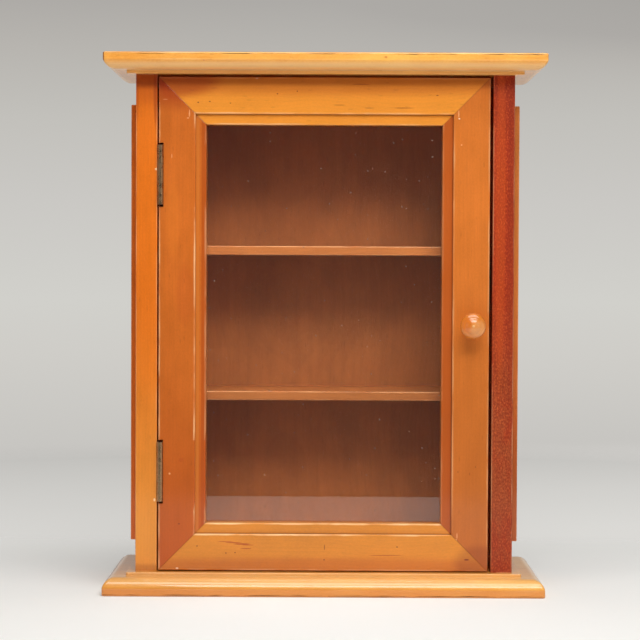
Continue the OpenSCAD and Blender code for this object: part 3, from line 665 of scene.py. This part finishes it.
class CASE_OT_boards(Operator):
    """Builds the moulded top and base boards"""
    bl_idname = "display_case.boards"
    bl_label = "Top and base boards"

    def execute(self, context):
        sizes, stains = context.scene.case_sizes, context.scene.case_stains
        body = board_box()
        # The base screws stand in the middle of the sides, whose rebates overlap the back panel's edges
        overlap, half_side, inset = 6.6 * MM, 8.625 * MM, 24 * MM
        holes = [(x * (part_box("back_panel")[1][0] - overlap + half_side), y)
                 for x in (-1, 1) for y in (body[0][1] + inset, body[1][1] - inset)]
        # The pale bands on the rounds are painted light: a painted floor reflection under the top board's round and a
        # painted highlight along the base board's round.
        painted_reflection = tone(255, 212, 152)
        top_marks = marks((tone(190, 96, 40), 0.6, (47.6, 428.1, 1.5, 1.2, -62.75)),
                          (tone(214, 128, 70), 0.7, (50.5, 423.4, 1.2, 0.8, -60), (60.3, 420.9, 1.4, 0.8, -56),
                           (-96, 425.2, 1.0, 0.6, -62)),
                          (painted_reflection, 0.55, (0, 420.5, 900, 7, -54, 12)),
                          # The dark mark at the left front corner is darker end grain with painted shade where the
                          # front turns into the end.
                          (tone(128, 56, 24), 0.7, (-175.8, 428, 1.5, 8, -60, 9)))
        base_marks = marks((tone(214, 118, 44), 0.55, (0, 2.5, 900, 5.5, -63.25)),
                           (painted_reflection, 0.28, (0, 12, 900, 8, -52, 13)))
        top = wood("board_stain_top", stains.board, stains.board_deep, "x", 1, sheen=0.3, marked=top_marks, coat=0.5)
        amber = between(stains.board, tone(214, 128, 44), 0.6)
        base = wood("board_stain_base", stains.board, stains.board_deep, "x", 2, sheen=0.3, marked=base_marks,
                    coat=0.9, drift=(-0.2, 0.16, amber, 0.25), polish=0.06)
        moulded_board("top_board_moulded", sizes, "top_board", body, False, top, 11)
        moulded_board("base_board_moulded", sizes, "base_board", body, True, base, 12, holes)
        return {"FINISHED"}


class CASE_OT_sides(Operator):
    """Finishes the side boards and the raised panels on them"""
    bl_idname = "display_case.sides"
    bl_label = "Sides and raised panels"

    def execute(self, context):
        stains = context.scene.case_stains
        stain, shade = tone(150, 52, 16), tone(112, 22, 6)
        # The wide marks at z 417, under the top board's overhang, are painted shade, and so is the wide one at z 15,
        # just above the base board; the rest are chips and stain streaks.
        left_marks = marks((tone(255, 212, 165), 0.85, (-135.3, 340.6, 1.6, 1.2), (-136.6, 74.2, 1.0, 1.6)),
                           (stain, 0.5, (-136.2, 402, 2.2, 34)),
                           (stain, 0.3, (-150.6, 396, 1.2, 20), (-144, 417, 60, 30)),
                           (shade, 0.55, (-144, 417, 60, 14)), (shade, 0.3, (-144, 15, 60, 9)))
        # The first mark is painted shade under the top board's overhang; the long streaks are stain.
        right_marks = marks((shade, 0.2, (144, 417, 60, 20)), (tone(208, 84, 20), 0.3, (141, 310, 5, 180)),
                            (tone(136, 38, 8), 0.4, (149.5, 280, 4, 190)))
        dents = marks((shade, 0.8, (-153.6, 388, 0.9, 1.2, -20.75)), (shade, 0.7, (-153.4, 384.6, 0.8, 0.8, -20.75)))
        # The left side turns paler towards its foot: painted light bounced up from the floor.
        dress_wood("left_side", "side_stain", stains.left_side, 0.24, "z", 3, marked=left_marks,
                   drift=(0.02, 0.24, stains.left_foot_painted_bounce, 0.2))
        dress_wood("right_side", "side_stain_red", stains.right_side, 0.4, "z", 4, sheen=0.46, coat=0.15,
                   marked=right_marks, red=tone(166, 46, 8), drift=(0.1, 0.28, stains.right_foot, 0.3))
        dress_wood("left_raised_panel", "panel_stain", tone(226, 108, 22), 0.35, "z", 5, marked=dents)
        dress_wood("right_raised_panel", "panel_stain_right", tone(222, 128, 56), 0.3, "z", 6,
                   drift=(0.1, 0.3, tone(198, 98, 40), 0.3))
        return {"FINISHED"}


class CASE_OT_inside(Operator):
    """Finishes the back panel and the shelves"""
    bl_idname = "display_case.inside"
    bl_label = "Back and shelves"

    def execute(self, context):
        stains = context.scene.case_stains
        for seed, node in enumerate(("lower_shelf", "upper_shelf")):
            stain = darker(stains.shelf, 0.22 * (1 - seed))
            dress_wood(node, node + "_stain", stain, 0.25, "x", 7 + seed, figure=0.3, coat=0.2)
        dress_wood("back_panel", "back_stain", stains.back, 0.3, "z", 9, sheen=0.5, figure=0.2, coat=0.1)
        return {"FINISHED"}


class CASE_OT_door_frame(Operator):
    """Builds the mitred stiles and rails of the door"""
    bl_idname = "display_case.door_frame"
    bl_label = "Door frame"

    def execute(self, context):
        sizes, stains = context.scene.case_sizes, context.scene.case_stains
        low, high = (tuple(c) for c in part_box("door_left_stile"))
        rail_low, rail_high = corners_of("door_top_rail")
        x0, x1, y0, z0, z1 = rail_low[0], rail_high[0], rail_low[1], low[2], high[2]
        height, across, depth = z1 - z0, x1 - x0, rail_high[1] - y0
        width = high[0] - low[0]
        pale, dark, red, chip = tone(240, 168, 112), tone(118, 48, 20), tone(168, 58, 20), tone(255, 226, 196)
        shade, deep_red = tone(172, 70, 14), tone(112, 22, 6)
        middle = (z0 + z1) / 2 / MM
        left_marks = marks(
            # Down the sunk band: a paler stain on its outer half, and on its inner half darker stain with painted
            # shade.
            (tone(208, 120, 44), 0.75, (-102.9, middle, 2.4, 600, MOULDING)),
            (shade, 0.6, (-97.4, middle, 2.6, 600, MOULDING)),
            (pale, 0.85, (-128.5, 396.4, 2.4, 0.45), (-133.0, 393.5, 0.5, 0.6)),
            (pale, 0.8, (-123.1, 351.1, 0.4, 2.2), (-109.0, 385.4, 0.7, 3.8)),
            (pale, 0.7, (-110.2, 381.6, 1.2, 0.7)), (pale, 0.8, (-124.4, 95.5, 1.0, 1.0)),
            (dark, 0.85, (-116.7, 54.9, 0.9, 0.7)), (red, 0.3, (-115.2, 106.5, 2.6, 2.2)),
            # These two, at the top of the stile, are painted shade under the top board's overhang.
            (deep_red, 0.85, (-115, 416, 60, 15)), (red, 0.5, (-115, 416, 60, 32)),
            (red, 0.18, (-112, 240, 9, 30)), (tone(236, 130, 40), 0.2, (-122, 300, 7, 40)),
            (red, 0.35, (-120, 404, 16, 9)))
        right_marks = marks(
            (pale, 0.85, (107.6, 46.2, 0.5, 3.0), (106.9, 42.9, 0.8, 0.8), (109.3, 360.8, 0.8, 0.8)),
            (pale, 0.8, (106.9, 385.6, 0.6, 3.8)), (chip, 0.85, (107.4, 381.8, 0.9, 0.6)),
            (dark, 0.6, (108.1, 97.9, 0.8, 0.6)), (dark, 0.5, (117.5, 96.3, 0.5, 1.4), (122.1, 102, 0.5, 1.2)),
            # Down the sunk band: darker stain with painted shade from the step; at the top: painted shade under the top
            # board's overhang.
            (shade, 0.65, (98.6, middle, 5.6, 600, MOULDING)), (deep_red, 0.4, (115, 416, 60, 12)),
            (deep_red, 0.35, (126, 24, 26, 18)))
        top_marks = marks(
            # The first mark is painted shade under the top board's overhang, at the rail's left end.
            (red, 0.6, (-126, 412, 50, 18)), (dark, 0.85, (-102.0, 394.1, 0.9, 0.6), (-92.8, 394.9, 1.0, 0.5)),
            (red, 0.85, (-106.0, 386.0, 0.8, 0.9)), (dark, 0.7, (-76.2, 393.6, 0.8, 0.5)),
            (dark, 0.85, (-38.5, 401.2, 0.8, 0.6), (-22.6, 403.3, 0.7, 0.6)), (dark, 0.5, (28.4, 409.0, 9, 0.5)),
            (dark, 0.45, (11.3, 392.4, 6, 0.45)), (dark, 0.4, (35.2, 390.1, 5, 0.5)),
            (dark, 0.5, (63.0, 390.2, 9.5, 0.6)), (dark, 0.8, (89.7, 400.4, 1.2, 0.5)),
            # The last two marks are painted shade under the top board's overhang.
            (chip, 0.85, (-55.0, 413.5, 1.4, 0.7)), (red, 0.3, (0, 416, 400, 20)), (deep_red, 0.4, (0, 416, 400, 10)))
        bottom_marks = marks(
            (red, 0.6, (-79, 40.8, 8, 0.45)), (red, 0.75, (-73, 39.9, 8, 0.5)), (red, 0.8, (-66, 38.8, 8, 0.7)),
            (red, 0.6, (-61, 38.0, 6, 0.5)), (red, 0.7, (-62.5, 35.1, 5.5, 0.5)), (red, 0.35, (0, 15, 400, 16)),
            (dark, 0.85, (-78.8, 31.4, 0.8, 0.6), (-71.4, 31.8, 0.7, 0.6), (-102.1, 37.0, 0.8, 0.6)),
            (dark, 0.55, (0.8, 36.5, 0.6, 2.8)), (dark, 0.85, (0.5, 26.3, 0.8, 0.6)),
            (red, 0.6, (50.5, 30.1, 17, 0.45)), (dark, 0.85, (59.3, 37.0, 0.9, 0.6), (115.4, 26.9, 2.6, 0.9)),
            (chip, 0.85, (-118.2, 18.9, 1.4, 0.8)), (tone(40, 20, 10), 0.85, (-104.4, 49.3, 1.3, 1.1)),
            (deep_red, 0.35, (126, 24, 26, 18)), (dark, 0.85, (-100.9, 53.1, 1.2, 0.7)))
        half_hinge = 25.75 * MM
        hinges = [(corners_of(node)[0][2] + corners_of(node)[1][2]) / 2 - z0
                  for node in ("lower_hinge_pin", "upper_hinge_pin")]
        notches = [(c - half_hinge, c + half_hinge) for c in hinges]
        right, up, back = (1, 0, 0), (0, 0, 1), (0, 1, 0)
        # rubbed raises the pale edges, which are wear and painted highlight, most on the bottom rail, whose edges face
        # up to the lamps.
        stick("door_stile_left", sizes, height, width, depth, ((x0, y0, z0), right, back, up),
              wood("stile_stain_left", stains.left_stile, 0.28, "z", 10, marked=left_marks,
                   drift=(0.02, 0.2, stains.left_stile_foot, 0.2), rubbed=1.8),
              "door_left_stile", 21, notches)
        stick("door_stile_right", sizes, height, width, depth, ((x1, y0, z0), (-1, 0, 0), back, up),
              wood("stile_stain_right", stains.right_stile, 0.25, "z", 11, marked=right_marks,
                   drift=(0.06, 0.25, stains.right_stile_foot, 0.2)),
              "door_right_stile", 22)
        stick("door_rail_top", sizes, across, width, depth, ((x0, y0, z1), (0, 0, -1), back, right),
              wood("rail_stain_top", stains.rail, 0.2, "x", 12, marked=top_marks, rubbed=1.5),
              "door_top_rail", 23)
        stick("door_rail_bottom", sizes, across, width, depth, ((x0, y0, z0), up, back, right),
              wood("rail_stain_bottom", darker(stains.rail, 0.14), darker(stains.rail, 0.34), "x", 13,
                   marked=bottom_marks, rubbed=2.4),
              "door_bottom_rail", 24)
        dress(wood("spline_wood", tone(222, 186, 132), tone(190, 150, 100), "x", 14), "door_corner_splines")
        return {"FINISHED"}


class CASE_OT_glazing(Operator):
    """Finishes the glass, its beads and their pins"""
    bl_idname = "display_case.glazing"
    bl_label = "Glass and beads"

    def execute(self, context):
        stains = context.scene.case_stains
        dress(pane("door_glass", *corners_of("door_glass")), "door_glass")
        for seed, side in enumerate(("left", "right", "top", "bottom")):
            node = side + "_glass_bead"
            dress_wood(node, node + "_stain", stains.right_stile, 0.25, "zzxx"[seed], 15 + seed)
        dress(plated("bead_pin_steel", stains.steel, "x", 3), "glass_bead_pins")
        return {"FINISHED"}


def knob_outline(reach, radius):
    """Half section of the turned knob, from the end of the screw's bore round to the pip: distance from the axis and
    height from the seat."""
    edge, neck, dome_h, pip, bore, grip = (size * MM for size in (3.6, 5, 2.2, 1.1, 2.05, 10.3))
    head = reach - pip / 2 - 2 * edge - dome_h
    flat = radius - edge
    dome_r = (flat ** 2 + dome_h ** 2) / (2 * dome_h)
    waist = np.linspace(0.06, 0.94, 12)
    neck_line = np.stack([neck - 0.55 * MM * np.sin(np.pi * waist), waist * head], -1)
    under = np.radians(np.linspace(-90, 0, 12))
    over = np.radians(np.linspace(0, 84, 12))
    rim = np.concatenate([under, over[1:]])
    edge_line = np.stack([flat + edge * np.cos(rim), head + edge + edge * np.sin(rim)], -1)
    dome = np.linspace(math.asin(flat / dome_r) * 0.97, 0.9 * pip / dome_r, 14)
    dome_line = np.stack([dome_r * np.sin(dome), reach - pip / 2 - dome_r * (1 - np.cos(dome))], -1)
    top = np.linspace(0.72, 0, 7) * np.pi / 2
    pip_line = np.stack([pip * np.sin(top), reach - pip * (1 - np.cos(top))], -1)
    start = np.array([(0, grip), (bore, grip), (bore, 0), (neck - 0.4 * MM, 0), (neck, 0.4 * MM)])
    return np.concatenate([start, neck_line, [(neck + 0.5 * MM, head)], edge_line, dome_line, pip_line])


class CASE_OT_knob(Operator):
    """Builds the turned knob and finishes its screw"""
    bl_idname = "display_case.knob"
    bl_label = "Knob"

    def execute(self, context):
        stains = context.scene.case_stains
        low, high = corners_of("door_knob")
        radius, reach = (high[0] - low[0]) / 2, high[1] - low[1]
        outline, count = knob_outline(reach, radius), 72
        angle = np.linspace(0, 2 * np.pi, count, endpoint=False)
        # Surface of revolution: each outline point turned about the axis, a hair out of round
        spread = np.minimum(outline[:, :1] * (1 + 0.004 * np.sin(2 * angle + 0.7)), radius)
        points = np.stack([(low[0] + high[0]) / 2 + spread * np.cos(angle),
                           np.broadcast_to(high[1] - outline[:, 1:], spread.shape),
                           (low[2] + high[2]) / 2 + spread * np.sin(angle)], -1)
        pale = tone(250, 196, 132)
        # The pale patch at the lower right and the pale dot on the pip are painted highlight and painted reflection,
        # and the darker patch to the left is painted shade.
        marked = marks((pale, 0.22, (122, 214, 8, 8, -58, 12)), (pale, 0.7, (118.4, 216, 1.4, 1.4, -60, 4)),
                       (tone(214, 100, 36), 0.35, (113, 217, 5, 8, -58, 8)))
        knob = wood("knob_stain", stains.knob, 0.25, "y", 19, sheen=0.2, marked=marked, coat=1.0, polish=0.18)
        new_piece("door_knob_turned", points, ring_faces(len(outline), count), knob, "door", ["door_knob"],
                  {"arris": np.zeros(points.shape[:2])})
        dress(plated("knob_screw_steel", stains.steel, "y", 5), "knob_screw")
        return {"FINISHED"}


class CASE_OT_hinges(Operator):
    """Finishes the leaves, pins and screws of both hinges"""
    bl_idname = "display_case.hinges"
    bl_label = "Hinges"

    def execute(self, context):
        stains = context.scene.case_stains
        for seed, side in enumerate(("upper", "lower")):
            dress(brass(side + "_hinge_brass", 7 * seed), side + "_hinge_frame_leaf", side + "_hinge_door_leaf")
        dress(plated("hinge_pin_steel", darker(stains.steel, 0.4), "z", 6, dull=0.3),
              "upper_hinge_pin", "lower_hinge_pin")
        dress(brass("hinge_screw_brass", 23), "hinge_frame_screws", "hinge_door_screws")
        return {"FINISHED"}


class CASE_OT_catch(Operator):
    """Finishes the magnetic catch and its strike plate"""
    bl_idname = "display_case.catch"
    bl_label = "Magnetic catch"

    def execute(self, context):
        stains = context.scene.case_stains
        dress(moulded_plastic("catch_plastic", tone(98, 66, 42)), "catch_housing")
        dress(sintered("catch_ferrite", tone(72, 72, 76)), "catch_magnet")
        dress(plated("catch_pole_steel", darker(stains.steel, 0.15), "z", 8), "catch_pole_plates")
        dress(plated("strike_steel", stains.steel, "z", 9, rough=0.22), "catch_strike_plate")
        dress(plated("catch_screw_steel", stains.steel, "z", 10), "catch_screws", "strike_screw")
        return {"FINISHED"}


class CASE_OT_fasteners(Operator):
    """Finishes the dowels, screws and nails of the carcass"""
    bl_idname = "display_case.fasteners"
    bl_label = "Carcass fasteners"

    def execute(self, context):
        stains = context.scene.case_stains
        dress(wood("dowel_beech", tone(222, 186, 132), tone(190, 150, 100), "z", 20), "top_dowels")
        dress(plated("base_screw_steel", darker(stains.steel, 0.2), "z", 12), "base_screws")
        dress(plated("nail_steel", darker(stains.steel, 0.45), "y", 13, rough=0.4, dull=0.4), "back_panel_nails")
        return {"FINISHED"}


def floor_material(stage):
    """Pale floor that fades into the backdrop towards the back and the sides, for the camera and through the glass,
    and whose front edge shows only in reflections. For lamps and bounced light it is whole, so it throws its light
    under the mouldings."""
    n = material_nodes("floor")
    place, x, y, z = n.place()
    camera, through, gloss = n.node("ShaderNodeLightPath", outputs=(
        "Is Camera Ray", "Is Transmission Ray", "Is Glossy Ray"))
    far = (x ** 2 + (y - 0.1) ** 2) ** 0.5
    fade = (y.rise(-0.15, 0.3) * 0.75).most(far.rise(0.5, 1.2))
    colour = n.mix(n.noise(place, 160) * 0.1, stage.floor, darker(stage.floor, 0.1))
    paint = n.node("ShaderNodeBsdfDiffuse", {}, {"Color": colour})
    share = (fade * camera.most(through)).most((y < -0.65) * gloss)
    return n.finish(n.node("ShaderNodeMixShader", {}, {0: share, 1: paint, 2: n.node("ShaderNodeBsdfTransparent")}))


def light_room(stage):
    """The world: a grey backdrop, darker towards the top, for the camera and straight through the glass, a share of
    it for rays that the glass has thrown about, a dim front half for reflections, and an even level for the rest."""
    world = bpy.context.scene.world = bpy.data.worlds.new("studio")
    n = Nodes(world)
    side, depth, rise = n.node("ShaderNodeSeparateXYZ", {}, {0: n.node("ShaderNodeTexCoord", outputs="Generated")},
                               range(3))
    height = rise + side.most(0) * (rise.rise(0.09, 0.17) * 0.35 + rise.rise(-0.1, -0.05) * 0.05 - 0.05)
    stops = [(-0.2, (252, 251, 246)), (-0.175, (240, 239, 234)), (-0.1645, (224, 222, 218)),
             (-0.1544, (221, 219, 215)), (-0.144, (223, 221, 217)), (-0.123, (216, 214, 210)),
             (-0.097, (199, 197, 193)), (-0.044, (207, 205, 200)), (-0.017, (209, 208, 203)),
             (0.036, (202, 200, 196)), (0.079, (194, 192, 187)), (0.116, (183, 180, 175)),
             (0.141, (173, 170, 166)), (0.25, (160, 158, 154))]
    # The ramp runs from 0.25 below the horizon to 0.25 above it
    stops = [((place + 0.25) * 2, tone(*colour)) for place, colour in stops]
    backdrop = n.node("ShaderNodeValToRGB", {"stops": stops}, {0: (height + 0.25) * 2})
    camera, through, gloss, diffuse_depth, glossy_depth = n.node("ShaderNodeLightPath", outputs=(
        "Is Camera Ray", "Is Transmission Ray", "Is Glossy Ray", "Diffuse Depth", "Glossy Depth"))
    straight = (diffuse_depth < 1) * ((glossy_depth < 1) * 0.65 + 0.35)
    behind = depth.rise(-0.1, 0.3) * (1 - rise.rise(0.3, 0.7))
    lit = n.mix(gloss, (stage.room,) * 3, n.mix(behind, (0.012,) * 3, backdrop))
    colour = n.mix(camera.most(through * straight), lit, backdrop)
    n.finish(n.node("ShaderNodeBackground", {}, {"Color": colour, "Strength": 1.0}), "World")


def lamp(name, power, place, target, width, height):
    """Rectangular lamp that faces its target."""
    data = bpy.data.lights.new(name, "AREA")
    data.energy, data.shape, data.size, data.size_y = power, "RECTANGLE", width, height
    lamp_object = bpy.data.objects.new(name, data)
    bpy.context.scene.collection.objects.link(lamp_object)
    away = np.subtract(place, target)
    away /= np.linalg.norm(away)
    side = np.cross((0, 0, 1), away)
    side /= np.linalg.norm(side)
    turn = np.eye(4)
    turn[:3] = np.stack([side, np.cross(away, side), away, place], 1)
    lamp_object.matrix_world = Matrix(turn.tolist())


class CASE_OT_stage(Operator):
    """Sets up the floor, the backdrop, the lamps and the camera"""
    bl_idname = "display_case.stage"
    bl_label = "Stage"

    def execute(self, context):
        stage = context.scene.case_stage
        points = [(x, y, 0) for y in (-2.5, 0, 2.5) for x in (-2.5, 0, 2.5)]
        mesh = bpy.data.meshes.new("floor")
        mesh.from_pydata(points, [], ring_faces(3, 3, closed=False))
        mesh.materials.append(floor_material(stage))
        ground = bpy.data.objects.new("floor", mesh)
        context.scene.collection.objects.link(ground)
        light_room(stage)
        aim = (0, -0.03, 0.24)
        lamp("key_lamp", stage.key, (0.30, -1.22, 1.28), aim, 1.2, 0.45)
        lamp("top_lamp", stage.top, (0.10, -0.60, 1.60), aim, 1.3, 0.6)
        for side, x in (("left", -1.2), ("right", 1.2)):
            lamp("fill_lamp_" + side, stage.fill, (x, -1.2, 0.5), aim, 0.6, 0.9)
        camera_data = bpy.data.cameras.new("camera")
        camera_data.lens, camera_data.sensor_width = stage.lens, 36
        camera = bpy.data.objects.new("camera", camera_data)
        context.scene.collection.objects.link(camera)
        yaw, pitch, roll = (math.radians(a) for a in (0.2798, -1.5878, -0.2511))
        turn = Matrix.Rotation(yaw, 4, "Z") @ Matrix.Rotation(pitch, 4, "X") @ Matrix.Rotation(roll, 4, "Y")
        upright = Matrix.Rotation(math.radians(90), 4, "X")
        camera.matrix_world = Matrix.Translation((0.00372, -1.54178, 0.26160)) @ turn @ upright
        context.scene.camera = camera
        context.scene.view_settings.view_transform = "Standard"
        return {"FINISHED"}


PIECES = (CASE_OT_boards, CASE_OT_sides, CASE_OT_inside, CASE_OT_door_frame, CASE_OT_glazing, CASE_OT_knob,
          CASE_OT_hinges, CASE_OT_catch, CASE_OT_fasteners, CASE_OT_stage)
GROUPS = {"case_sizes": CaseSizes, "case_stains": CaseStains, "case_wear": CaseWear, "case_stage": CaseStage}


class CASE_PT_panel(Panel):
    """Lists the pieces of the case and their settings"""
    bl_label = "Display case"
    bl_space_type = "VIEW_3D"
    bl_region_type = "UI"
    bl_category = "Display case"

    def draw(self, context):
        for operator in PIECES:
            self.layout.operator(operator.bl_idname)
        for name, group in GROUPS.items():
            box = self.layout.box()
            for key in group.__annotations__:
                box.prop(getattr(context.scene, name), key)


def register():
    for cls in (*GROUPS.values(), *PIECES, CASE_PT_panel):
        bpy.utils.register_class(cls)
    for name, group in GROUPS.items():
        setattr(bpy.types.Scene, name, PointerProperty(type=group))


def unregister():
    for name in GROUPS:
        delattr(bpy.types.Scene, name)
    for cls in (CASE_PT_panel, *reversed(PIECES), *GROUPS.values()):
        bpy.utils.unregister_class(cls)


def main():
    register()
    for operator in PIECES:
        getattr(bpy.ops.display_case, operator.bl_idname.split(".")[1])()


if __name__ == "__main__":
    main()
